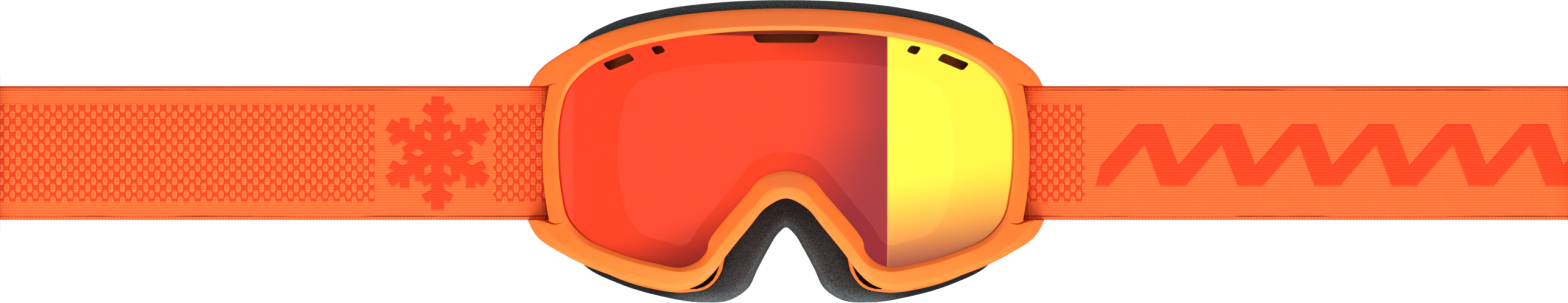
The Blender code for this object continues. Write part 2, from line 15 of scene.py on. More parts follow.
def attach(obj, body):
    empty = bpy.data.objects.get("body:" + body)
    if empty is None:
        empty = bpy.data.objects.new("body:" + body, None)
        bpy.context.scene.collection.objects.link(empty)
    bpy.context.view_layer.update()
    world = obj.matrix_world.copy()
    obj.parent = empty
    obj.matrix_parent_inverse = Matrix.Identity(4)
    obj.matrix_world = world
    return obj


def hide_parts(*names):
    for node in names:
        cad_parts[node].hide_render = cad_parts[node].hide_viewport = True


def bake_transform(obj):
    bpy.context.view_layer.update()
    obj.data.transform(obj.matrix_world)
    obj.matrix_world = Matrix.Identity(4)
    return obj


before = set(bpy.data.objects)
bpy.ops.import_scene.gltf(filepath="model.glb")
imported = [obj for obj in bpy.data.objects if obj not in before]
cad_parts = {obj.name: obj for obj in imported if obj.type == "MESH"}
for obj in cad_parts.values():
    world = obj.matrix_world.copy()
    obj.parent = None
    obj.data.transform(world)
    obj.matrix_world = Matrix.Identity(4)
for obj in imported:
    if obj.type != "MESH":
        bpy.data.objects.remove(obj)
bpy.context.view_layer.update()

MM = 0.001
SIDES = ((-1, "left"), (1, "right"))

# Sizes repeated from the CAD source.
STRAP_HEIGHT = 40.0
WEBBING = 1.5
RIM_RADIUS = 105.0
RIM_FRONT_Y = -37.5
FACE_RADIUS = 95.0
FACE_MIDDLE_Y = -12.0
WALL = 2.2
LIP_BACK = 0.55
LENS_FRONT, LENS_BACK = 0.65, 2.15
GROOVE_BACK = 3.2
GASKET_FRONT, GASKET_BACK = 3.3, 4.8
REAR_LIP_BACK = 4.6
INNER_LENS_FRONT, INNER_LENS_BACK = 5.1, 6.1
VENT_PAD_BACK = 5.6
PIN_X = 73.2
LOOP_TAIL_X = 92.0
SLOT_HALF_HEIGHT = 19.98
SLOT_INNER_X = 69.75
BAR_BACK_Y = -3.4
BAR_EDGE_X = 72.6
BAR_CURVE_RADIUS = 100.0
WRAP_X = 224.0
SLIDER_X = 243.0
TAIL_END_X = 266.0
FOLD_X = 270.0
FOLD_Y = 2.4
SLIDER_BAR_Y = 3.3
LOOP_MIDDLE = 2.25

RIM_OUTER = [
    (0, 42.8), (19, 42.1), (37.5, 39.9), (54, 35.5), (66.5, 29.9), (74.6, 23.6), (78.2, 16),
    (79.2, 0), (78.2, -17), (74.6, -24.6), (66.5, -30.1), (53, -36), (41, -39.5), (31, -40.7),
    (25, -38.6), (21.2, -35.1), (18.1, -30.9), (10.6, -21.6), (6, -16.2), (0, -13.4),
]
LENS_OPENING = [
    (0, 36.3), (18.5, 35.7), (35.9, 33.5), (49.5, 30), (59.9, 24.4), (64.9, 18.8),
    (67.3, 10.5), (67.8, 0), (66.9, -11.5), (64.9, -19.4), (60.6, -24.5), (50.8, -29.3),
    (38.8, -32.7), (30.1, -33.8), (25.4, -31.5), (23.3, -28.6), (22.9, -26.3), (12.2, -12.9),
    (7, -7.2), (0, -5.4),
]
SKIRT = [
    (0, 41.6), (18.7, 40.9), (36.7, 38.7), (52, 34.6), (62, 28.2), (67.2, 21), (69.3, 12),
    (69.7, 0), (69.3, -13), (67.2, -22), (62.3, -29.4), (51.5, -35.3), (39.9, -38.9),
    (30.3, -40.1), (25.4, -38), (21.7, -34.6), (18.6, -30.4), (11.3, -21), (6.6, -15.6),
    (0, -12.7),
]
FLANGE = [
    (0, 42.3), (18.8, 41.6), (36.9, 39.4), (52.3, 35.2), (62.4, 28.7), (67.8, 21.3), (70, 12.1),
    (70.4, 0), (70, -13.1), (67.8, -22.3), (62.7, -30), (52.1, -36.5), (40.1, -40.3),
    (29.5, -41.4), (23.1, -39.9), (19.5, -35.5), (18.3, -31.1), (11.1, -21.1), (6.3, -15.7),
    (0, -12.9),
]
INNER_LENS_EDGE = [
    (0, 30.9), (16, 30.4), (31, 28.9), (43, 25.9), (51.5, 22), (55.8, 16.5), (57.7, 9.5),
    (58.2, 0), (57.6, -10), (56, -17.5), (52.5, -22.5), (45, -27), (37, -29.6), (29.8, -30.8),
    (25.9, -28.6), (23.2, -24.4), (17.6, -17.6), (11.8, -10.4), (6.8, -4.9), (0, -3.2),
]
FACE_OPENING = [
    (0, 28.1), (15, 27.6), (30, 26), (41, 23.3), (46.8, 18.8), (49.2, 12), (50.2, 5),
    (50.3, -3), (49.3, -12), (47.2, -19), (42.5, -24.8), (36, -28.1), (30.5, -29),
    (26.5, -28), (23.3, -24.5), (20.6, -20.5), (16.8, -14.8), (12.4, -9.2), (7.1, -3.8),
    (0, -1.6),
]
FOAM_OUTER = [
    (0, 45.6), (19.2, 45), (37.4, 42.8), (52, 39), (61.5, 33.6), (66.3, 26.5), (68.3, 16),
    (68.8, 0), (68.2, -14), (66, -26), (60.5, -33.7), (50, -39.1), (37.4, -42.8), (25, -44.6),
    (16.5, -43.8), (11.4, -40.4), (8.3, -34.3), (5, -28.2), (2.5, -24.2), (0, -22.2),
]
CENTRE_VENT = [(-10.1, 35.2), (10.1, 35.2), (8.7, 32.6), (-8.7, 32.6)]
SMALL_VENT = [(35.6, 30.1), (37, 32), (40.2, 31.4), (38.6, 29)]
LARGE_VENT = [(44.8, 27.6), (46.6, 29.7), (54.5, 26.6), (52.5, 24.4)]
SKIRT_WINDOWS = [(9.5, 14, 1), (27, 14, 1), (43.5, 12, 1), (30, 12, -1), (46, 12, -1)]

CORNER_GAP = [
    (19.8, -32.9), (20, -34.2), (20.7, -36), (21.7, -37.7), (22.9, -38.9), (24.5, -39.9),
    (26.5, -40.5), (28.6, -40.6), (28.5, -40.2), (26.7, -39.3), (25.2, -38.3), (23.2, -36.5),
    (21.5, -34.9), (20.3, -33.3),
]

# The rim's front face has a crest near the lens, and a second ridge near its outer edge.
CREST = [
    (0, 37.6), (18.7, 37), (36.2, 34.95), (50.1, 31.2), (60.6, 25.5), (65.95, 19.5), (68.5, 10.8),
    (69.05, 0), (68.2, -12), (66, -20.4), (61.4, -25.8), (51.2, -30.6), (39, -33.95),
    (30, -35.15), (24.3, -33.3), (21.3, -30), (19.2, -27.1), (9.2, -15.6), (4.6, -11),
    (0, -10.2),
]
BEVEL = [
    (0, 41.9), (18.9, 41.2), (37.2, 39.1), (53.5, 34.7), (65.9, 29.1), (73.6, 23), (77, 15.8),
    (77.9, 0), (76.8, -16.6), (72, -22.6), (65.2, -28.4), (52.6, -34.6), (40.9, -38),
    (31, -39.4), (25.6, -37.7), (21.8, -34.6), (18.5, -30.5), (11, -21.3), (6.3, -15.7),
    (0, -13),
]
CREST_DEPTH = [
    -1.0, -1.0, -1.0, -0.9, -0.7, -0.55, -0.5, -0.45, -0.5, -0.7, -0.9, -1.0, -1.05, -1.2, -1.5,
    -1.7, -1.8, -1.9, -2.1, -2.2,
]
# How much further forward than the CAD's rim the outer edge comes, and the share of the fall
# from crest to outer edge that is used up at the ridge.
EDGE_FORWARD = [
    2.3, 2.2, 1.9, 1.5, 1.1, 0.8, 0.6, 0.4, 0.2, 0, 0, 0.2, 0.6, 1.6, 2.9, 3.7, 4.6, 4.9, 5.1,
    5.2,
]
RIDGE_FALL = [
    0.72, 0.72, 0.74, 0.8, 0.84, 0.84, 0.8, 0.76, 0.65, 0.42, 0.32, 0.3, 0.3, 0.34, 0.5, 0.75,
    0.82, 0.82, 0.82, 0.82,
]
RING_STEPS = 8

# The strap's woven pattern: a repeat is two columns of cells.
CELL_COLUMN = 1.73
CELL_PITCH = 3.97
EMBLEM_X = -104.0
CELL_RISE = 1.575
SHORT_CELL, TALL_CELL, HALF_CELL = 1.36, 1.6, 0.83
CELL_SQUARENESS = 2.8
BLOCKS = {-1: ((-400.0, -122.8), (-87.4, 0.0)), 1: ((0.0, 89.1),)}
PEAKS_START, PEAKS_END = 95.0, 238.0
PEAKS_MIDDLE_Z, PEAKS_HALF_HEIGHT = -0.6, 9.1
PEAK_WIDTH = 11.5
BLOCK_HALF_HEIGHT = 14.5
# The flat coordinate along the strap equals the distance from the mid plane here.
PATTERN_ANCHOR = 150


# Shader nodes.

def math_operator(operation):
    return lambda field, *others: field.math(operation, *others)


class Field:
    """A number that varies over a surface; arithmetic on it adds Math nodes."""

    def __init__(self, tree, socket):
        self.tree, self.socket = tree, socket

    def math(self, operation, *others):
        node = self.tree.nodes.new("ShaderNodeMath")
        node.operation = operation
        for slot, value in zip(node.inputs, (self, *others)):
            if isinstance(value, Field):
                self.tree.links.new(value.socket, slot)
            else:
                slot.default_value = value
        return Field(self.tree, node.outputs[0])

    __add__ = math_operator("ADD")
    __sub__ = math_operator("SUBTRACT")
    __mul__ = math_operator("MULTIPLY")
    __truediv__ = math_operator("DIVIDE")
    __abs__ = math_operator("ABSOLUTE")
    __lt__ = math_operator("LESS_THAN")
    __gt__ = math_operator("GREATER_THAN")

    def wave(self, pitch):
        """A sine over the field, one turn for each pitch."""
        return (self * (2 * math.pi / pitch)).math("SINE")

    def step(self, low, high):
        """0 below low, 1 above high, smooth between; falls instead if low is above high."""
        node = self.tree.nodes.new("ShaderNodeMapRange")
        node.interpolation_type = "SMOOTHSTEP"
        self.tree.links.new(self.socket, node.inputs["Value"])
        rising = low < high
        node.inputs["From Min"].default_value = min(low, high)
        node.inputs["From Max"].default_value = max(low, high)
        node.inputs["To Min"].default_value = 0 if rising else 1
        node.inputs["To Max"].default_value = 1 if rising else 0
        return Field(self.tree, node.outputs["Result"])


class Surface:
    """A material being built: its node tree, its shader and its coordinates in millimetres."""

    def __init__(self, name, coordinates="Object"):
        self.material = bpy.data.materials.new(name)
        self.material.use_nodes = True
        self.tree = self.material.node_tree
        self.shader = self.tree.nodes["Principled BSDF"]
        self.output = self.tree.nodes["Material Output"]
        source = self.node("ShaderNodeTexCoord").outputs[coordinates]
        scaled = self.node("ShaderNodeVectorMath", operation="SCALE")
        scaled.inputs["Scale"].default_value = 1 / MM
        self.link(source, scaled.inputs[0])
        self.vector = scaled.outputs[0]
        parts = self.node("ShaderNodeSeparateXYZ")
        self.link(self.vector, parts.inputs[0])
        self.x, self.y, self.z = (Field(self.tree, part) for part in parts.outputs)

    def node(self, kind, **settings):
        made = self.tree.nodes.new(kind)
        for key, value in settings.items():
            setattr(made, key, value)
        return made

    def link(self, source, target):
        self.tree.links.new(source.socket if isinstance(source, Field) else source, target)

    def set(self, **values):
        for key, value in values.items():
            label = key.replace("_", " ").title().replace("Ior", "IOR")
            self.shader.inputs[label].default_value = value

    def noise(self, scale, detail=2.0, stretch=None):
        vector = self.vector
        if stretch:
            mapping = self.node("ShaderNodeMapping")
            mapping.inputs["Scale"].default_value = stretch
            self.link(vector, mapping.inputs["Vector"])
            vector = mapping.outputs[0]
        made = self.node("ShaderNodeTexNoise")
        made.inputs["Scale"].default_value = scale
        made.inputs["Detail"].default_value = detail
        self.link(vector, made.inputs["Vector"])
        return Field(self.tree, made.outputs[0])

    def cells(self, scale):
        made = self.node("ShaderNodeTexVoronoi")
        made.inputs["Scale"].default_value = scale
        self.link(self.vector, made.inputs["Vector"])
        return Field(self.tree, made.outputs["Distance"])

    def mix(self, factor, first, second):
        """A colour socket between two colours or colour sockets."""
        made = self.node("ShaderNodeMix", data_type="RGBA")
        for value, index in ((factor, 0), (first, 6), (second, 7)):
            slot = made.inputs[index]
            if isinstance(value, (Field, bpy.types.NodeSocket)):
                self.link(value, slot)
            elif isinstance(value, tuple):
                slot.default_value = (*value, 1)
            else:
                slot.default_value = value
        return made.outputs[2]

    def shade(self, colour, amount):
        """A colour socket multiplied by a field."""
        made = self.node("ShaderNodeVectorMath", operation="SCALE")
        self.link(colour, made.inputs[0])
        self.link(amount, made.inputs["Scale"])
        return made.outputs[0]

    def colour(self, socket):
        self.link(socket, self.shader.inputs["Base Color"])

    def roughness(self, field):
        self.link(field, self.shader.inputs["Roughness"])

    def bump(self, height, distance, strength=1.0, soften=0.0):
        """Bump from a height field; distance is in millimetres, and soften rounds sharp edges."""
        made = self.node("ShaderNodeBump")
        made.inputs["Strength"].default_value = strength
        made.inputs["Distance"].default_value = distance * MM
        self.link(height, made.inputs["Height"])
        if soften:
            edge = self.node("ShaderNodeBevel", samples=6)
            edge.inputs["Radius"].default_value = soften * MM
            self.link(edge.outputs[0], made.inputs["Normal"])
        self.link(made.outputs[0], self.shader.inputs["Normal"])


def orange_plastic():
    """Satin moulded rubbery plastic with a very fine grain."""
    s = Surface("frame_satin_orange")
    broad = s.noise(0.06, 3)
    fine = s.noise(5.0, 3)
    colour = s.mix(broad.step(0.3, 0.7), (0.85, 0.153, 0.017), (0.89, 0.161, 0.019))
    s.colour(s.shade(colour, fine * 0.06 + 0.97))
    s.roughness(s.noise(0.5, 4) * 0.12 + 0.40)
    s.set(specular_ior_level=0.22)
    s.bump(fine, 0.03, 0.5, soften=0.22)
    return s.material


def tinted(surface, tint, share):
    """Lets a share of the light straight through the surface, tinted."""
    clear = surface.node("ShaderNodeBsdfTransparent")
    if isinstance(tint, tuple):
        clear.inputs[0].default_value = (*tint, 1)
    else:
        surface.link(tint, clear.inputs[0])
    both = surface.node("ShaderNodeMixShader")
    both.inputs[0].default_value = share
    surface.link(surface.shader.outputs[0], both.inputs[1])
    surface.link(clear.outputs[0], both.inputs[2])
    surface.link(both.outputs[0], surface.output.inputs["Surface"])


SPLIT_X = 30.1


def mirror_lens():
    """The mirror coating: red on the left, a lighter yellow tint past the split. Painted
    reflections of dark surroundings darken it towards the right, the lower left and the bottom of
    the yellow, with painted shadows near the top.
    """
    s = Surface("lens_mirror_coating")
    x, z = s.x, s.z
    drift = s.noise(0.02, 2) * 5 - 2.5
    # Painted light: a lighter band along the lens's left edge.
    red = s.mix(x.step(-62.3, -64.3), (1.0, 0.055, 0.0145), (1.0, 0.080, 0.034))
    # Painted reflection of dark surroundings: the red darkens to maroon towards the right.
    right = x - z.math("MINIMUM", 10.0) * 0.55 + drift
    red = s.mix(right.step(-6, 32), red, (0.335, 0.026, 0.036))
    # Painted reflection of dark surroundings: darker towards the lower left.
    low_left_reflection = (x + 34) * 0.4 - z + drift
    red = s.mix(low_left_reflection.step(17, 36) * x.step(4, -14), red, (0.33, 0.017, 0.011))
    # Painted shadow, reflected in the lens, towards the top right of the red.
    top_right_shadow = x.step(-10, 4) * z.step(26, 38) * 0.55
    red = s.mix(top_right_shadow, red, (0.16, 0.010, 0.010))
    # Painted shadow under the top of the rim.
    red = s.mix((z - abs(x) * 0.03).step(33.9, 34.7) * 0.85, red, (0.13, 0.012, 0.012))
    # Painted reflection: the yellow falls to orange and then brown towards the bottom.
    fall = (x - 38) * 0.12 - z + drift * 0.6
    yellow = s.mix(fall.step(5, 25), (1.0, 0.93, 0.066), (1.0, 0.39, 0.072))
    yellow = s.mix(fall.step(20, 33), yellow, (0.50, 0.13, 0.075))
    split = x > SPLIT_X
    colour = s.mix(split, red, yellow)
    line = abs(x - SPLIT_X) < 0.2
    colour = s.mix(line * 0.22, colour, (1.0, 0.62, 0.35))
    s.colour(colour)
    s.roughness(s.noise(0.08, 2) * 0.04 + 0.07)
    s.set(metallic=0.75, specular_ior_level=0.25, coat_weight=0.05, coat_roughness=0.04)
    tinted(s, s.mix(split, (0.62, 0.17, 0.19), (0.62, 0.50, 0.14)), 0.17)
    return s.material


def clear_lens():
    s = Surface("lens_clear_amber")
    s.colour(s.mix(s.noise(0.05, 2), (0.80, 0.62, 0.42), (0.86, 0.70, 0.50)))
    s.roughness(s.noise(0.2, 2) * 0.04 + 0.05)
    s.set(specular_ior_level=0.5)
    tinted(s, (1.0, 0.93, 0.82), 0.88)
    return s.material


def foam(name, dark, light, grain, occlusion_shade_power):
    """Open-cell foam: fine pores with lighter cell walls, with painted shade where it is tucked in
    behind other parts and on the lower sides under the frame.
    """
    s = Surface(name)
    x, z = s.x, s.z
    pores = s.cells(grain)
    speckle = s.noise(grain * 1.2, 2)
    wear = s.noise(0.09, 3)
    # Painted shade: an occlusion node darkens the colour where other parts crowd the foam.
    occlusion_shade = s.node("ShaderNodeAmbientOcclusion", samples=8)
    occlusion_shade.inputs["Distance"].default_value = 22 * MM
    colour = s.mix((pores * 0.4 + speckle * 0.9).step(0.42, 0.88), dark, light)
    depth = Field(s.tree, occlusion_shade.outputs["AO"]).math("POWER", occlusion_shade_power) * 0.96 + 0.04
    # Painted shade on the lower sides, under the frame.
    depth = depth * (abs(x).step(24, 38) * z.step(-16, -28) * -0.82 + 1.0)
    s.colour(s.shade(s.shade(colour, wear * 0.2 + 0.9), depth))
    s.roughness(speckle * 0.1 + 0.88)
    s.set(specular_ior_level=0.03)
    s.bump(pores + speckle * 0.7, 0.12, 0.6)
    return s.material


def fleece():
    """Brushed knit against the skin: a soft, matt nap."""
    s = Surface("fleece_brushed_black")
    nap = s.noise(3.2, 4, stretch=(1, 1, 0.45))
    clumps = s.noise(0.45, 3)
    colour = s.mix(nap.step(0.3, 0.75), (0.012, 0.012, 0.014), (0.050, 0.050, 0.054))
    s.colour(s.shade(colour, clumps * 0.5 + 0.75))
    s.roughness(nap * 0.08 + 0.92)
    s.set(specular_ior_level=0.08, sheen_weight=0.35)
    s.bump(nap + clumps * 0.8, 0.35, 0.8)
    return s.material


def black_plastic():
    """Injection-moulded plastic with a spark-eroded grain."""
    s = Surface("clip_black_nylon")
    grain = s.noise(4.0, 3)
    broad = s.noise(0.15, 3)
    s.colour(s.mix(broad, (0.012, 0.012, 0.013), (0.024, 0.024, 0.026)))
    s.roughness(grain * 0.16 + 0.36)
    s.set(specular_ior_level=0.45)
    s.bump(grain, 0.05, 0.6, soften=0.3)
    return s.material


def steel():
    s = Surface("pin_drawn_steel")
    drawn = s.noise(1.5, 3, stretch=(6, 6, 0.3))
    s.colour(s.mix(drawn, (0.05, 0.045, 0.04), (0.09, 0.08, 0.075)))
    s.roughness(drawn * 0.15 + 0.24)
    s.set(metallic=1.0)
    s.bump(drawn, 0.02, 0.4)
    return s.material


def rubber():
    s = Surface("grip_silicone")
    s.colour(s.mix(s.noise(0.6, 3), (0.55, 0.10, 0.03), (0.62, 0.13, 0.04)))
    s.roughness(s.noise(1.2, 2) * 0.12 + 0.32)
    s.set(specular_ior_level=0.4)
    return s.material


def thread():
    s = Surface("thread_orange")
    twist = s.noise(3.0, 2, stretch=(1, 1, 3))
    s.colour(s.mix(twist, (0.70, 0.10, 0.025), (0.82, 0.16, 0.04)))
    s.set(roughness=0.85, specular_ior_level=0.15, sheen_weight=0.2)
    s.bump(twist, 0.08, 0.6)
    return s.material


WEB_LIGHT = (0.78, 0.107, 0.0225)
WEB_PALE = (0.82, 0.150, 0.035)
WEB_RED = (0.76, 0.0385, 0.0068)
WEB_DARK = (0.50, 0.026, 0.0065)


def cell_fields(x, z):
    """The honeycomb's distance from a cell's middle, 1 at its edge."""
    column = (x / CELL_COLUMN).math("FLOOR")
    odd = abs(column.math("FLOORED_MODULO", 2.0))
    across = abs((x / CELL_COLUMN - column - 0.5) * CELL_COLUMN)
    up = ((z - CELL_RISE) / CELL_PITCH + odd * 0.5).math("FLOORED_MODULO", 1.0) - 0.5
    half_tall = odd * (TALL_CELL - SHORT_CELL) + SHORT_CELL
    return ((across / HALF_CELL).math("POWER", CELL_SQUARENESS)
            + (abs(up * CELL_PITCH) / half_tall).math("POWER", CELL_SQUARENESS))


def webbing(name, side):
    """Jacquard elastic: plain knit, honeycomb blocks and one woven motif."""
    s = Surface(name, "UV")
    x, z = s.x, s.y  # along the flat webbing, and up
    wobble = s.noise(1.3, 2) * 0.5 - 0.25
    rib = ((x + wobble * 0.3).wave(0.85) + (z + wobble * 0.3).wave(0.8)) * 0.5
    fuzz = s.noise(2.6, 3)
    patches = s.noise(0.12, 3)
    plain = s.mix(patches, WEB_LIGHT, (0.80, 0.116, 0.0255))
    plain = s.mix((rib - fuzz).step(-0.4, 0.5) * 0.24, plain, WEB_RED)
    reach = cell_fields(x + wobble * 0.25, z + wobble * 0.4)
    inside = reach.step(0.85, 0.65)
    outline = reach.step(0.55, 0.85) * reach.step(1.5, 1.0)
    comb = s.mix(inside, WEB_RED, s.mix(reach.step(0.05, 0.3), WEB_LIGHT, WEB_PALE))
    comb = s.mix(outline * 0.10, comb, WEB_DARK)
    in_block = None
    for low, high in BLOCKS[side]:
        here = (x + wobble * 0.5 > low) * (x + wobble * 0.5 < high)
        in_block = here if in_block is None else in_block.math("MAXIMUM", here)
    in_block = in_block * (abs(z + wobble * 0.5) < BLOCK_HALF_HEIGHT)
    colour = s.mix(in_block, plain, comb)
    relief = in_block * (inside * 1.0 + outline * -0.6)
    if side < 0:
        motif = snowflake_field(x - EMBLEM_X + wobble * 0.7, z + wobble * 0.5)
    else:
        motif = peaks_field(x + wobble * 0.7, z + wobble * 0.5)
    solid = motif.step(0.25, 0.0)
    edge = motif.step(-0.5, -0.1) * motif.step(0.6, 0.2)
    colour = s.mix(solid, colour, WEB_RED)
    colour = s.mix(edge * 0.15, colour, WEB_DARK)
    relief = relief + solid * 0.7 - edge * 0.5
    half = STRAP_HEIGHT / 2
    dots = (x.wave(0.9) > 0.2) * (abs(z) > half - 1.0)
    colour = s.mix(dots * 0.7, colour, WEB_RED)
    colour = s.mix((abs(z) > half - 0.3) * 0.4, colour, WEB_DARK)
    # A dark line along the groove near each edge, broken into segments.
    broken_dark_line = s.noise(0.035, 3, stretch=(1, 4, 1)).step(0.42, 0.62)
    groove = abs(abs(z) - (half - 1.15)).step(0.26, 0.10)
    colour = s.mix(groove * (broken_dark_line * 0.75 + 0.15), colour, (0.10, 0.012, 0.006))
    # The weave is in shade where it enters the frame.
    shadow = abs(x).step(82, 66) * -0.28 + 1.0
    s.colour(s.shade(s.shade(colour, rib * 0.05 + fuzz * 0.12 + 0.94), shadow))
    s.roughness(fuzz * 0.12 + 0.80)
    s.set(specular_ior_level=0.12, sheen_weight=0.04)
    s.bump(relief * 1.1 + rib * 0.75 + fuzz * 0.8 - groove * 1.2, 0.11, 0.85)
    return s.material


def plain_webbing():
    """The webbing's back: the same yarns without the pattern."""
    s = Surface("webbing_back", "UV")
    x, z = s.x, s.y
    rib = x.wave(1.1) * z.wave(0.8)
    fuzz = s.noise(2.6, 3)
    patches = s.noise(0.12, 3)
    colour = s.mix(patches, (0.74, 0.125, 0.03), WEB_LIGHT)
    colour = s.mix((rib > 0.35) * 0.5, colour, WEB_RED)
    s.colour(s.shade(colour, fuzz * 0.2 + 0.88))
    s.roughness(fuzz * 0.12 + 0.82)
    s.set(specular_ior_level=0.12, sheen_weight=0.04)
    s.bump(rib * 0.6 + fuzz, 0.16, 0.8)
    return s.material


def snowflake_field(x, z):
    """Signed distance to a six-armed snowflake, negative inside."""
    radius = (x * x + z * z).math("SQRT")
    turn = z.math("ARCTAN2", x) + 2 * math.pi
    fold = abs(turn.math("FLOORED_MODULO", math.pi / 3) - math.pi / 6)
    p, q = radius * fold.math("COSINE"), radius * fold.math("SINE")
    shape = (q - 1.8).math("MAXIMUM", p - 16.8)
    sine, cosine = math.sin(math.pi / 3), math.cos(math.pi / 3)
    for start, length in ((6.2, 5.2), (11.4, 4.6)):
        side = abs((p - start) * sine - q * cosine) - 1.25
        run = (p - start) * cosine + q * sine
        shape = shape.math("MINIMUM", side.math("MAXIMUM", run - length).math("MAXIMUM", run * -1))
    return shape.math("MINIMUM", radius - 4.0)


def peaks_field(x, z):
    """Signed distance to a bold zigzag of mountain peaks, leaning forwards."""
    lean = x - z * 0.25 - PEAKS_START
    rise = (lean / PEAK_WIDTH).math("PINGPONG", 1.0) * (2 * PEAKS_HALF_HEIGHT) - PEAKS_HALF_HEIGHT
    slope = math.atan(2 * PEAKS_HALF_HEIGHT / PEAK_WIDTH)
    stroke = abs(z - PEAKS_MIDDLE_Z - rise) * math.cos(slope) - 3.1
    shape = stroke.math("MAXIMUM", abs(z - PEAKS_MIDDLE_Z) - PEAKS_HALF_HEIGHT)
    ends = (lean * -1).math("MAXIMUM", x - PEAKS_END)
    return shape.math("MAXIMUM", ends)


def floor_paint():
    s = Surface("studio_floor")
    s.colour(s.mix(s.noise(0.002, 2), (0.86, 0.86, 0.86), (0.90, 0.90, 0.90)))
    s.set(roughness=0.8)
    return s.material


# Curves and outlines.

def rim_y(x, depth=0.0):
    return RIM_FRONT_Y + RIM_RADIUS - math.sqrt((RIM_RADIUS - depth) ** 2 - x * x)


def face_y(x):
    return FACE_MIDDLE_Y + FACE_RADIUS - math.sqrt(FACE_RADIUS**2 - x * x)


def rim_edge_y(x):
    return rim_y(x) + 4.0 - 2.5 * (x / 79) ** 2


def rim_back_y(x):
    return rim_edge_y(x) + 4.0 + 2.0 * (x / 79) ** 2


def smooth_half(points):
    """A smooth curve through the half outline's points, level where it meets the mid plane."""
    flip = Vector((-1, 1))
    knots = [Vector(p) for p in points]
    knots = [knots[1] * flip, *knots, knots[-2] * flip]
    curve = []
    for before, start, end, after in zip(knots, knots[1:], knots[2:], knots[3:]):
        span = (end - start).length
        lead, follow = (start - before).length, (after - end).length
        pull, push = min(span, 2.5 * lead), min(span, 2.5 * follow)
        leave = ((end - start) / span * lead + (start - before) / lead * span) / (lead + span)
        arrive = ((after - end) / follow * span + (end - start) / span * follow) / (span + follow)
        for step in range(RING_STEPS):
            t = step / RING_STEPS
            curve.append(
                start * (2 * t**3 - 3 * t**2 + 1) + leave * pull * (t**3 - 2 * t**2 + t)
                + end * (3 * t**2 - 2 * t**3) + arrive * push * (t**3 - t**2)
            )
    return curve + [knots[-2]]


def offset(loop, distances):
    """The outline moved outwards, by one distance or by one for each station."""
    moved = []
    for i, point in enumerate(loop):
        along = (loop[(i + 1) % len(loop)] - loop[i - 1]).normalized()
        by = distances[i] if isinstance(distances, list) else distances
        moved.append(point + Vector((-along.y, along.x)) * by)
    return moved


def ring(points, distances=0.0):
    half = smooth_half(points)
    loop = half + [Vector((-p.x, p.y)) for p in half[-2:0:-1]]
    return offset(loop, distances)


def ring_values(values):
    """One number for each station of a ring, smooth between the landmarks' own."""
    half = []
    for start, end in zip(values, values[1:]):
        for step in range(RING_STEPS):
            t = step / RING_STEPS
            half.append(start + (end - start) * (3 * t**2 - 2 * t**3))
    half.append(values[-1])
    return half + half[-2:0:-1]


def arc(centre, radius, start, end, steps):
    turns = [math.radians(start + (end - start) * i / steps) for i in range(steps + 1)]
    return [(centre[0] + radius * math.cos(a), centre[1] + radius * math.sin(a)) for a in turns]


def rounded(outline, radius, steps=5):
    result = []
    for i, corner in enumerate(outline):
        corner = Vector(corner)
        to_last = Vector(outline[i - 1]) - corner
        to_next = Vector(outline[(i + 1) % len(outline)]) - corner
        reach = min(radius, 0.45 * to_last.length, 0.45 * to_next.length)
        start = corner + to_last.normalized() * reach
        end = corner + to_next.normalized() * reach
        for step in range(steps + 1):
            t = step / steps
            result.append(tuple(start.lerp(corner, t).lerp(corner.lerp(end, t), t)))
    return result


def flip_x(outline, side):
    return [(side * u, v) for u, v in outline]


# Meshes.

def add(name, mesh, *materials, smooth_angle=40):
    item = bpy.data.objects.new(name, mesh)
    bpy.context.scene.collection.objects.link(item)
    for material in materials:
        mesh.materials.append(material)
    mesh.shade_smooth()
    if smooth_angle:
        mesh.set_sharp_from_angle(angle=math.radians(smooth_angle))
    return item


def mesh_from(name, bm):
    bmesh.ops.recalc_face_normals(bm, faces=bm.faces)
    mesh = bpy.data.meshes.new(name)
    bm.to_mesh(mesh)
    bm.free()
    return mesh


def loft_into(bm, sections, closed):
    """Joins sections with the same number of points, end to start or with a cap at each end."""
    rows = [[bm.verts.new(Vector(p) * MM) for p in section] for section in sections]
    pairs = list(zip(rows, rows[1:]))
    if closed:
        pairs.append((rows[-1], rows[0]))
    for row, following in pairs:
        for i in range(len(row)):
            bm.faces.new((row[i - 1], row[i], following[i], following[i - 1]))
    if not closed:
        bm.faces.new(rows[0])
        bm.faces.new(rows[-1])


def loft_mesh(name, sections, closed=True):
    bm = bmesh.new()
    loft_into(bm, sections, closed)
    return mesh_from(name, bm)


def prism_mesh(name, outline, low, high, plane="XZ"):
    """An outline extruded along Y (plane XZ) or along Z (plane XY)."""
    sections = [
        [(u, level, v) if plane == "XZ" else (u, v, level) for u, v in outline]
        for level in (low, high)
    ]
    return loft_mesh(name, sections, closed=False)


def cutter(mesh):
    item = bpy.data.objects.new(mesh.name, mesh)
    bpy.context.scene.collection.objects.link(item)
    return item


def cut(item, cutters, operation="DIFFERENCE"):
    """Applies an exact Boolean with each cutter, and removes the cutters."""
    for tool in cutters:
        step = item.modifiers.new(tool.name, "BOOLEAN")
        step.operation = operation
        step.solver = "EXACT"
        step.object = tool
    apply_modifiers(item)
    for tool in cutters:
        mesh = tool.data
        bpy.data.objects.remove(tool, do_unlink=True)
        bpy.data.meshes.remove(mesh)


def apply_modifiers(item):
    bpy.context.view_layer.update()
    evaluated = item.evaluated_get(bpy.context.evaluated_depsgraph_get())
    final = bpy.data.meshes.new_from_object(evaluated)
    final.name = item.name
    item.modifiers.clear()
    item.data = final


def finish_shading(item, angle=35):
    item.data.shade_smooth()
    item.data.set_sharp_from_angle(angle=math.radians(angle))


# The frame's moulding.

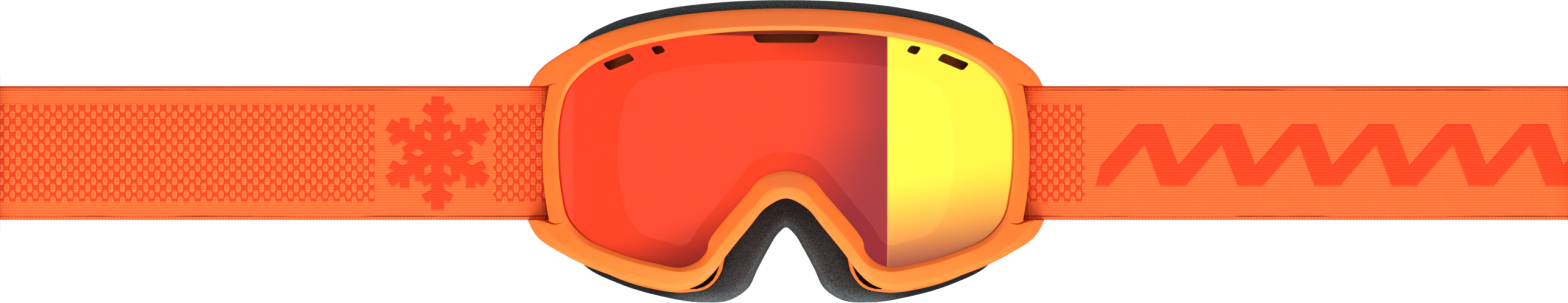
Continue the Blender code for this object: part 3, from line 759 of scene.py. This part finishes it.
# Stations across the rim's face, from the lens to the crest, on to the second ridge and on to
# the outer edge: the share of the way, and how far the point sinks to round the edge.
FROM_LENS = [(0.05, 0.08), (0.25, 0), (0.5, 0), (0.75, 0), (0.94, 0.02)]
FROM_CREST = [(0.05, 0.02), (0.25, 0), (0.5, 0), (0.75, 0), (0.94, 0), (1, 0.05)]
FROM_RIDGE = [(0.1, 0.02), (0.4, 0), (0.7, 0), (0.85, 0.05), (0.96, 0.25), (1, 0.7)]


def frame_sections():
    """Cross-sections of the frame's moulding, from the lens's edge outwards and round behind."""
    lens_edge, crest, ridge, outer = ring(LENS_OPENING), ring(CREST), ring(BEVEL), ring(RIM_OUTER)
    groove, shelf = offset(lens_edge, 2.5), offset(lens_edge, 0.7)
    skirt, skirt_inner, flange = ring(SKIRT), ring(SKIRT, -WALL), ring(FLANGE)
    opening = ring(FACE_OPENING, 1.5)
    depth, ahead, fall = (ring_values(v) for v in (CREST_DEPTH, EDGE_FORWARD, RIDGE_FALL))
    sections = []
    for i, edge in enumerate(lens_edge):
        high, top, step, out = depth[i], crest[i], ridge[i], outer[i]
        places = [(edge, rim_y(edge.x, LIP_BACK)), (edge, rim_y(edge.x, 0.3))]
        for share, sink in FROM_LENS:
            point = edge.lerp(top, share)
            places.append((point, rim_y(point.x, 0.1 + (high - 0.1) * share + sink)))
        top_y, edge_y = rim_y(top.x, high), rim_edge_y(abs(out.x)) - ahead[i]
        step_y = top_y + (edge_y - top_y) * fall[i]
        places.append((top, top_y + 0.05))
        for share, sink in FROM_CREST:
            places.append((top.lerp(step, share), top_y + (step_y - top_y) * share + sink))
        for share, sink in FROM_RIDGE:
            places.append((step.lerp(out, share), step_y + (edge_y - step_y) * share + sink))
        back_y = rim_back_y(abs(out.x))
        width = (out - top).length
        for inset, forward in ((0.0, 0.8), (0.2, 0.25), (0.7, 0.0)):
            places.append((top.lerp(out, 1 - min(inset, width * 0.2) / width), back_y - forward))
        wall, rear = skirt[i], face_y(skirt[i].x)
        lip, hole, inside = flange[i], opening[i], skirt_inner[i]
        lip_y, hole_y = face_y(lip.x), face_y(hole.x)
        places += [
            (wall, back_y + 0.02),
            (wall, rear - WALL),
            (lip, lip_y - WALL + 0.15),
            (lip + (lip - wall).normalized() * 0.15, lip_y - WALL / 2),
            (lip, lip_y - 0.1),
            (lip.lerp(hole, 0.5), face_y(lip.lerp(hole, 0.5).x)),
            (hole, hole_y),
            (hole.lerp(lip, -0.03), hole_y - WALL / 2),
            (hole, hole_y - WALL),
            (inside, face_y(inside.x) - WALL),
            (inside, rim_y(inside.x, REAR_LIP_BACK) + 0.6),
            (shelf[i], rim_y(shelf[i].x, REAR_LIP_BACK)),
            (shelf[i], rim_y(shelf[i].x, GROOVE_BACK)),
            (groove[i], rim_y(groove[i].x, GROOVE_BACK)),
            (groove[i], rim_y(groove[i].x, LIP_BACK)),
        ]
        sections.append([(point.x, y, point.y) for point, y in places])
    return sections


def window_cutter(side, distance, width, up):
    x = side * distance
    front, back = rim_back_y(distance) + 1.0, face_y(distance) - WALL - 0.4
    slope = math.atan2(x, math.sqrt(RIM_RADIUS**2 - x * x))
    half, height = width / 2, 38 * up
    outline = rounded([(-half, front), (half, front), (half, back), (-half, back)], 1.4)
    centre = (front + back) / 2
    turned = []
    for u, v in outline:
        v -= centre
        turned.append((x + u * math.cos(slope) - v * math.sin(slope),
                       centre + u * math.sin(slope) + v * math.cos(slope)))
    name = f"window_{side}_{distance}_{up}"
    return cutter(prism_mesh(name, turned, height - 9, height + 9, "XY"))


def slot_cutters(side):
    swing = math.degrees(math.asin(SLOT_HALF_HEIGHT / BAR_CURVE_RADIUS))
    edge = arc((BAR_EDGE_X - BAR_CURVE_RADIUS, 0), BAR_CURVE_RADIUS, -swing, swing, 40)
    front = edge + [(95, SLOT_HALF_HEIGHT), (95, -SLOT_HALF_HEIGHT)]
    bar = prism_mesh(f"bar_edge_{side}", flip_x(front, side), -45, BAR_BACK_Y + 0.1)
    half = SLOT_HALF_HEIGHT
    pocket_outline = [(SLOT_INNER_X, half), (95, half), (95, -half), (SLOT_INNER_X, -half)]
    pocket = prism_mesh(f"pocket_{side}", flip_x(pocket_outline, side), BAR_BACK_Y, 45)
    hole = prism_mesh(f"pin_hole_{side}", arc((side * PIN_X, 0), 1.55, 0, 354, 32), -22, 22, "XY")
    return [cutter(mesh) for mesh in (bar, pocket, hole)]


# The creases that run from the side bars' corners towards the lens: x, z, half width and depth.
TOP_CREASE = [
    (73.5, 19.75, 0.25, 1.2), (72, 19.95, 0.3, 1.6), (70.6, 20.2, 0.34, 1.8),
    (69.8, 20.5, 0.2, 1.0), (68.8, 20.75, 0.14, 0.6), (67.6, 20.85, 0.1, 0.35),
    (66.4, 20.8, 0.04, 0.1),
]
LOW_CREASE = [
    (73.8, -19.8, 0.25, 1.2), (72.2, -20.1, 0.3, 1.6), (70.9, -20.4, 0.36, 1.8),
    (70, -20.9, 0.24, 1.1), (68.7, -21.15, 0.17, 0.7), (67.4, -20.95, 0.12, 0.4),
    (66.2, -20.4, 0.04, 0.1),
]


def crease_cutter(side, route):
    sections = []
    for x, z, half, deep in route:
        level = rim_y(x, -0.7 + (0.15 if z > 0 else 0.05) * (x - 66.4))
        wide = half * (1 + 1 / deep)
        sections.append([(side * x, level - 1, z - wide), (side * x, level - 1, z + wide),
                         (side * x, level + deep, z)])
    return cutter(loft_mesh(f"crease_{side}_{route[0][1]}", sections, closed=False))


def make_frame_shell():
    shell = add("frame_shell", loft_mesh("frame_shell", frame_sections()), orange_plastic())
    tools = []
    for side, _ in SIDES:
        tools += slot_cutters(side)
        tools += [crease_cutter(side, route) for route in (TOP_CREASE, LOW_CREASE)]
        tools += [window_cutter(side, *window) for window in SKIRT_WINDOWS]
        tools.append(cutter(prism_mesh(f"corner_gap_{side}", flip_x(CORNER_GAP, side), -14, 0)))
    cut(shell, tools)
    finish_shading(shell)
    return shell


# Lenses, gasket and foams.

def lens_mesh(name, front, back):
    """A curved slab, bigger than the lens that is cut from it."""
    half_width, columns = 72, 120
    sections = []
    for column in range(columns + 1):
        x = half_width * (2 * column / columns - 1)
        near, far = rim_y(x, front), rim_y(x, back)
        sections.append([(x, near, -60), (x, far, -60), (x, far, 60), (x, near, 60)])
    return loft_mesh(name, sections, closed=False)


def make_lens(name, outline, front, back, *materials, vents=()):
    """A curved lens; a second material goes on everything behind the front surface."""
    lens = add(name, lens_mesh(name, front, back), *materials)
    edge = cutter(prism_mesh(f"{name}_edge", [tuple(p) for p in outline], -60, 40))
    cut(lens, [edge], "INTERSECT")
    if vents:
        cut(lens, [cutter(mesh) for mesh in vents])
    if len(materials) > 1:
        for face in lens.data.polygons:
            face.material_index = 0 if face.normal.y < -0.3 else 1
    finish_shading(lens, 30)
    return lens


def vent_meshes():
    made = [prism_mesh("vent_centre", rounded(CENTRE_VENT, 1.2), -50, 10)]
    for side, _ in SIDES:
        for label, corners in (("small", SMALL_VENT), ("large", LARGE_VENT)):
            outline = flip_x(rounded(corners, 0.95), side)
            made.append(prism_mesh(f"vent_{label}_{side}", outline, -50, 10))
    return made


def soft_band(name, outer, inner, front, back, corners, material, crown=0.0, stations=None):
    """A ring of foam with rounded edges and slightly crowned faces.

    corners gives the radius at the outer front, outer back, inner back and inner front.
    """
    count = len(outer)
    sections = []
    for station in range(count) if stations is None else stations:
        out, inn = outer[station % count], inner[station % count]
        width = (out - inn).length
        section = []

        def place(across, through, radius, start):
            """A quarter turn; across runs 0 inner to 1 outer, through 0 front to 1 back."""
            point = inn.lerp(out, 0.5)
            thick = back(point.x) - front(point.x)
            reach_w, reach_t = min(radius / width, 0.45), min(radius / thick, 0.45)
            hub_w = across + (reach_w if across == 0 else -reach_w)
            hub_t = through + (reach_t if through == 0 else -reach_t)
            for i in range(6):
                a = math.radians(start + 90 * i / 5)
                w, t = hub_w + reach_w * math.cos(a), hub_t + reach_t * math.sin(a)
                put(w, t)

        def put(w, t):
            point = inn.lerp(out, w)
            near, far = front(point.x), back(point.x)
            bulge = crown * 4 * max(0, w) * max(0, 1 - w) * (2 * t - 1)
            section.append((point.x, near + (far - near) * t + bulge, point.y))

        place(1, 0, corners[0], -90)
        place(1, 1, corners[1], 0)
        for w in (0.75, 0.5, 0.25):
            put(w, 1)
        place(0, 1, corners[2], 90)
        place(0, 0, corners[3], 180)
        for w in (0.25, 0.5, 0.75):
            put(w, 0)
        sections.append(section)
    return add(name, loft_mesh(name, sections, closed=stations is None), material, smooth_angle=0)


def roughen(item, amount, scale):
    """Moves points a little along their normals, as cut foam has."""
    for vertex in item.data.vertices:
        wave = noise.fractal(vertex.co / (scale * MM), 1.0, 2.0, 3)
        vertex.co += vertex.normal * wave * amount * MM


def at_depth(depth):
    return lambda x: rim_y(x, depth)


def behind_face(distance):
    return lambda x: face_y(x) + distance


# Webbing.

def lengths_along(points):
    """The path length at each point of a polyline."""
    return np.concatenate([[0], np.cumsum(np.linalg.norm(np.diff(points, axis=0), axis=1))])


def curve_through(points, spacing):
    """Points along a polyline at an even spacing, as an array of x and y."""
    points = np.array(points, float)
    lengths = lengths_along(points)
    count = max(2, int(round(lengths[-1] / spacing)))
    at = np.linspace(0, lengths[-1], count + 1)
    return np.stack([np.interp(at, lengths, points[:, 0]), np.interp(at, lengths, points[:, 1])], 1)


def rib_relief(x, z, side):
    """Height in millimetres of the woven pattern over the plain webbing, as arrays."""
    column = np.floor(x / CELL_COLUMN)
    odd = np.mod(column, 2)
    across = (x / CELL_COLUMN - column - 0.5) * CELL_COLUMN
    up = (np.mod((z - CELL_RISE) / CELL_PITCH + odd * 0.5, 1) - 0.5) * CELL_PITCH
    tall = SHORT_CELL + (TALL_CELL - SHORT_CELL) * odd
    reach = (across / (HALF_CELL + 0.05)) ** 2 + (up / (tall + 0.05)) ** 2
    cell = np.sqrt(np.clip(1 - reach, 0, 1)) * 0.17
    inside = np.zeros_like(x, bool)
    for low, high in BLOCKS[side]:
        inside |= (x > low) & (x < high)
    cell = cell * inside * (np.abs(z) < BLOCK_HALF_HEIGHT)
    rim = np.abs(np.abs(z) - (STRAP_HEIGHT / 2 - 1.1))
    cord = 0.10 * np.clip(1 - rim / 0.8, 0, 1)
    return cell + cord


def ribbon(name, path, start_u, side, materials, spacing, row, patterned):
    """Webbing along a path seen edge-on: a front and a back surface with rounded edges."""
    line = curve_through(path, spacing)
    along = lengths_along(line) + start_u
    tangent = np.gradient(line, axis=0)
    tangent /= np.linalg.norm(tangent, axis=1)[:, None]
    normal = np.stack([tangent[:, 1], -tangent[:, 0]], 1)
    half = STRAP_HEIGHT / 2
    rows = int(round(2 * (half - 0.6) / row))
    heights = np.concatenate([
        [-half, -half + 0.12, -half + 0.35], np.linspace(-half + 0.7, half - 0.7, rows + 1),
        [half - 0.35, half - 0.12, half],
    ])
    sink = np.clip(np.abs(heights) - (half - 0.75), 0, 0.75) / 0.75
    thick = WEBBING / 2 * np.sqrt(np.clip(1 - sink**2, 0.02, 1))
    u, z = np.meshgrid(along * side, heights, indexing="ij")
    relief = rib_relief(u, z, side) if patterned else np.zeros_like(u)
    places = []
    for face in (1, -1):
        out = face * (thick[None, :] + (relief if face > 0 else 0))
        x = (line[:, 0][:, None] + normal[:, 0][:, None] * out) * side
        y = line[:, 1][:, None] + normal[:, 1][:, None] * out
        places.append(np.stack([x, y, z], 2).reshape(-1, 3) * MM)
    flat = np.stack([u, z], 2).reshape(-1, 2) * MM
    behind = u.size
    index = np.arange(behind).reshape(u.shape)
    quads = (index[:-1, :-1], index[1:, :-1], index[1:, 1:], index[:-1, 1:])
    a, b, c, d = (part.ravel() for part in quads)
    front = np.stack([a, b, c, d], 1)
    back = np.stack([d, c, b, a], 1) + behind
    walls = []
    for edge, turn in ((index[:, 0], -1), (index[:, -1], 1), (index[0], 1), (index[-1], -1)):
        near, far = edge[:-1], edge[1:]
        walls.append(np.stack([near, *(far, far + behind, near + behind)[::turn]], 1))
    faces = np.concatenate([front, back, *walls])
    if side < 0:
        faces = faces[:, ::-1]
    mesh = bpy.data.meshes.new(name)
    mesh.from_pydata(np.concatenate(places).tolist(), [], faces.tolist())
    layer = mesh.uv_layers.new(name="flat")
    corner_vertex = np.empty(len(mesh.loops), np.int32)
    mesh.loops.foreach_get("vertex_index", corner_vertex)
    layer.data.foreach_set("uv", flat[corner_vertex % behind].astype(np.float32).ravel())
    slots = np.zeros(len(faces), np.int32)
    slots[len(front):len(front) + len(back)] = 1
    item = add(name, mesh, *materials, smooth_angle=50)
    mesh.polygons.foreach_set("material_index", slots)
    mesh.update()
    return item, float(along[-1] - along[0])


def loop_path():
    """The rear half of the teardrop that the webbing makes round the pin, from its tail inwards."""
    teardrop = [(76.2, 1.75), (79.2, 1.15), (82.6, 0.80), (86, WEBBING / 2),
                (LOOP_TAIL_X, WEBBING / 2)]
    return teardrop[::-1] + arc((PIN_X, 0), LOOP_MIDDLE, 62, 180, 16)


def strap_path():
    """From the sewn end behind, round the pin, out along the front and round the buckle's bar."""
    rear = loop_path()
    front = [(x, -y) for x, y in rear[:-1]][::-1]
    fold = arc((FOLD_X, FOLD_Y), FOLD_Y + WEBBING / 2, -90, 90, 24)
    return rear + front + [(WRAP_X, -WEBBING / 2)] + fold + [(TAIL_END_X + 0.3, fold[-1][1])]


def length_to(path, x):
    """Path length up to the first point on the front layer that is x from the mid plane."""
    total, seen_pin = 0.0, False
    for start, end in zip(path, path[1:]):
        seen_pin = seen_pin or start[0] < PIN_X
        if seen_pin and start[0] <= x < end[0] and end[1] <= 0:
            return total + (x - start[0]) / (end[0] - start[0]) * math.dist(start, end)
        total += math.dist(start, end)
    return total


def tail_path():
    """The returning layer, and its end turned round the slider's bar and sewn to it."""
    rear_y = FOLD_Y * 2 + WEBBING / 2
    turn = arc((SLIDER_X, SLIDER_BAR_Y), LOOP_MIDDLE, 90, 250, 18)
    return [(TAIL_END_X, rear_y), *turn, (245.4, 2.0), (248, 3.3), (251, 3.95), (254, 4.0)]


def stitch_rows(name, side, material):
    """Three rows of short thread stitches on the back of the loop's sewn tail."""
    bm = bmesh.new()
    reach, count = 18.5, 21
    size = Matrix.Diagonal((0.32 * MM, 0.32 * 0.7 * MM, 0.6 * MM, 1))
    for x in (85.5, 87, 89.5):
        for i in range(count + 1):
            z = 2 * reach * i / count - reach
            spot = Matrix.Translation(Vector((side * x, WEBBING + 0.05, z)) * MM)
            lean = Matrix.Rotation(math.radians(12 if i % 2 else -12), 4, "Y")
            bmesh.ops.create_icosphere(bm, subdivisions=2, radius=1.0, matrix=spot @ lean @ size)
    return add(name, mesh_from(name, bm), material, smooth_angle=0)


def grip_lines(name, side, material):
    """Three wavy silicone beads inside the strap, which stop it slipping on a helmet."""
    bm = bmesh.new()
    steps, start, length = 180, 104, 96
    turns = [math.radians(30 * k) for k in range(12)]
    for middle in (-11, 0, 11):
        sections = []
        for i in range(steps + 1):
            x = start + length * i / steps
            z = middle + 2.2 * math.sin(i / steps * 2 * math.pi * 5)
            swell = 0.15 if i in (0, steps) else 1.0
            high, wide = 0.45 * swell, 0.75 * swell
            sections.append([(side * x, high * max(0, math.sin(a)) - 0.04, z + wide * math.cos(a))
                             for a in turns])
        loft_into(bm, sections, closed=False)
    return add(name, mesh_from(name, bm), material, smooth_angle=0)


# Build.


def soften_cad(node, material, width):
    """Gives a CAD node that stays its material and slightly rounded edges."""
    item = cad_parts[node]
    item.data.materials.clear()
    item.data.materials.append(material)
    step = item.modifiers.new("rounded edges", "BEVEL")
    step.width = width * MM
    step.segments = 3
    step.limit_method = "ANGLE"
    step.angle_limit = math.radians(32)


def stand_in(piece, node):
    """A piece on the goggles' body that replaces a CAD node."""
    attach(piece, "goggles")
    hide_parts(node)


grey_foam = foam("foam_charcoal", (0.018, 0.021, 0.022), (0.086, 0.096, 0.100),
                 grain=3.3, occlusion_shade_power=1.8)
brown_foam = foam("vent_foam_brown", (0.28, 0.060, 0.013), (0.36, 0.086, 0.020),
                  grain=2.4, occlusion_shade_power=0.55)
clip = black_plastic()
pin_metal = steel()
silicone = rubber()
orange_thread = thread()

stand_in(make_frame_shell(), "frame")

clear = clear_lens()
mirror = make_lens("lens_mirror_front", offset(ring(LENS_OPENING)[::4], 2.2), LENS_FRONT, LENS_BACK,
                   mirror_lens(), clear, vents=vent_meshes())
stand_in(mirror, "outer_lens")

rear_lens = make_lens("lens_clear_rear", ring(INNER_LENS_EDGE), INNER_LENS_FRONT,
                      INNER_LENS_BACK, clear)
stand_in(rear_lens, "inner_lens")

gasket = soft_band("lens_spacer_gasket", ring(INNER_LENS_EDGE), ring(INNER_LENS_EDGE, -3.5),
                   at_depth(GASKET_FRONT), at_depth(GASKET_BACK), (0.3,) * 4, grey_foam)
stand_in(gasket, "lens_gasket")

# The layers against the face: how far each is inset, where it lies behind the frame's flange,
# the radii of its corners, its crown and its roughness.
FACE_LAYERS = [
    ("face_pad_base", "face_foam_base", grey_foam, "foam_grey", 0, (0.5, 9),
     (3.6, 0.8, 0.8, 1.0), 0.0, 0.025),
    ("face_pad_comfort", "face_foam_comfort", grey_foam, "foam_grey", 0.4, (9.2, 14.6),
     (0.8, 2.4, 2.4, 0.8), 0.3, 0.04),
    ("face_pad_fleece", "face_fleece", fleece(), "fleece_black", 1.6, (14.4, 16),
     (0.6, 0.7, 0.7, 0.6), 0.25, 0.05),
]
for name, node, material, slot_name, inset, depths, corners, crown, rough in FACE_LAYERS:
    pad = soft_band(name, ring(FOAM_OUTER, -inset), ring(FACE_OPENING, inset),
                    *map(behind_face, depths), corners, material, crown)
    roughen(pad, rough, 1.2)
    stand_in(pad, node)

skirt_pad = (ring(SKIRT, -WALL - 0.3), ring(SKIRT, -WALL - 2.8), lambda x: rim_back_y(abs(x)) + 0.6,
             behind_face(-WALL - 0.7), (0.3,) * 4, brown_foam, 0.0)
stations = len(skirt_pad[0])
vent_foams = [
    soft_band("lens_vent_pad", ring(LENS_OPENING, 0.3), ring(INNER_LENS_EDGE, 0.4),
              at_depth(GASKET_FRONT), at_depth(VENT_PAD_BACK), (0.25,) * 4, brown_foam, 0.0,
              range(-32, 33)),
    soft_band("top_vent_pad", *skirt_pad, range(-28, 29)),
    soft_band("right_bottom_vent_pad", *skirt_pad, range(84, 117)),
    soft_band("left_bottom_vent_pad", *skirt_pad, range(stations - 116, stations - 83)),
]
for pad in vent_foams:
    roughen(pad, 0.03, 0.9)
    stand_in(pad, pad.name.replace("_pad", "_foam"))

strap_back = plain_webbing()
for side, name in SIDES:
    face = webbing(f"webbing_{name}", side)
    path = strap_path()
    start_u = PATTERN_ANCHOR - length_to(path, PATTERN_ANCHOR)
    strap, length = ribbon(f"{name}_webbing", path, start_u, side, (face, strap_back),
                           spacing=CELL_COLUMN / 3, row=CELL_PITCH / 8, patterned=True)
    beads = grip_lines(f"{name}_grip_lines", side, silicone)
    seam = stitch_rows(f"{name}_loop_stitches", side, orange_thread)
    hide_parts(f"{name}_strap_front", f"{name}_strap_rear")
    for piece in (beads, seam):
        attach(piece, f"{name}_strap")
    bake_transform(strap)

    tail, tail_length = ribbon(f"{name}_webbing_tail", tail_path(), 0, side,
                               (strap_back, strap_back), spacing=0.7, row=1.0, patterned=False)
    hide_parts(f"{name}_strap_tail")
    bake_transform(tail)
    soften_cad(f"{name}_slider", clip, 0.7)
    soften_cad(f"{name}_strap_pin", pin_metal, 0.2)

for node in ("buckle_socket", "buckle_plug", "upper_prong", "lower_prong"):
    soften_cad(node, clip, 0.6)


# Studio.

def area_light(name, place, size, power):
    light = bpy.data.lights.new(name, "AREA")
    light.shape = "RECTANGLE"
    light.size, light.size_y = size
    light.energy = power
    item = bpy.data.objects.new(name, light)
    bpy.context.scene.collection.objects.link(item)
    item.visible_camera = False
    item.location = place
    item.rotation_mode = "QUATERNION"
    item.rotation_quaternion = (-Vector(place)).to_track_quat("-Z", "Y")


SKY_LEVEL = 0.25
HORIZON_LEVEL = 1.12
scene = bpy.context.scene
scene.view_settings.view_transform = "Standard"

FLOOR_Z, FLOOR_HALF = -0.6, 5.0
bm = bmesh.new()
bm.faces.new([bm.verts.new((x * FLOOR_HALF, y * FLOOR_HALF, FLOOR_Z))
              for x, y in ((-1, -1), (1, -1), (1, 1), (-1, 1))])
add("floor", mesh_from("floor", bm), floor_paint())

world = bpy.data.worlds.new("studio")
scene.world = world
world.use_nodes = True
sky = world.node_tree
direction = sky.nodes.new("ShaderNodeTexCoord").outputs["Generated"]
parts = sky.nodes.new("ShaderNodeSeparateXYZ")
sky.links.new(direction, parts.inputs[0])
# A white horizon, which is the picture's backdrop, and a dimmer sky above it.
height = Field(sky, parts.outputs[2])
glow = abs(height).step(0.26, 0.10) * (HORIZON_LEVEL - SKY_LEVEL) + SKY_LEVEL
background = sky.nodes["Background"]
sky.links.new(glow.socket, background.inputs["Strength"])
background.inputs["Color"].default_value = (1, 1, 1, 1)

area_light("low_front", (0.0, -0.31, -0.57), (1.8, 0.3), 21)
area_light("high_front", (0.0, -1.2, 1.2), (1.6, 0.6), 14)

CAMERA_DISTANCE = 4.0
PICTURE_WIDTH = 0.46836
SENSOR_WIDTH = 36
camera_data = bpy.data.cameras.new("camera")
camera_data.sensor_width = SENSOR_WIDTH
camera_data.lens = SENSOR_WIDTH * CAMERA_DISTANCE / PICTURE_WIDTH
camera_data.clip_end = 50
camera = bpy.data.objects.new("camera", camera_data)
scene.collection.objects.link(camera)
camera.location = (-0.0006, -CAMERA_DISTANCE, 0.00045)
camera.rotation_euler = (math.pi / 2, 0, 0)
scene.camera = camera
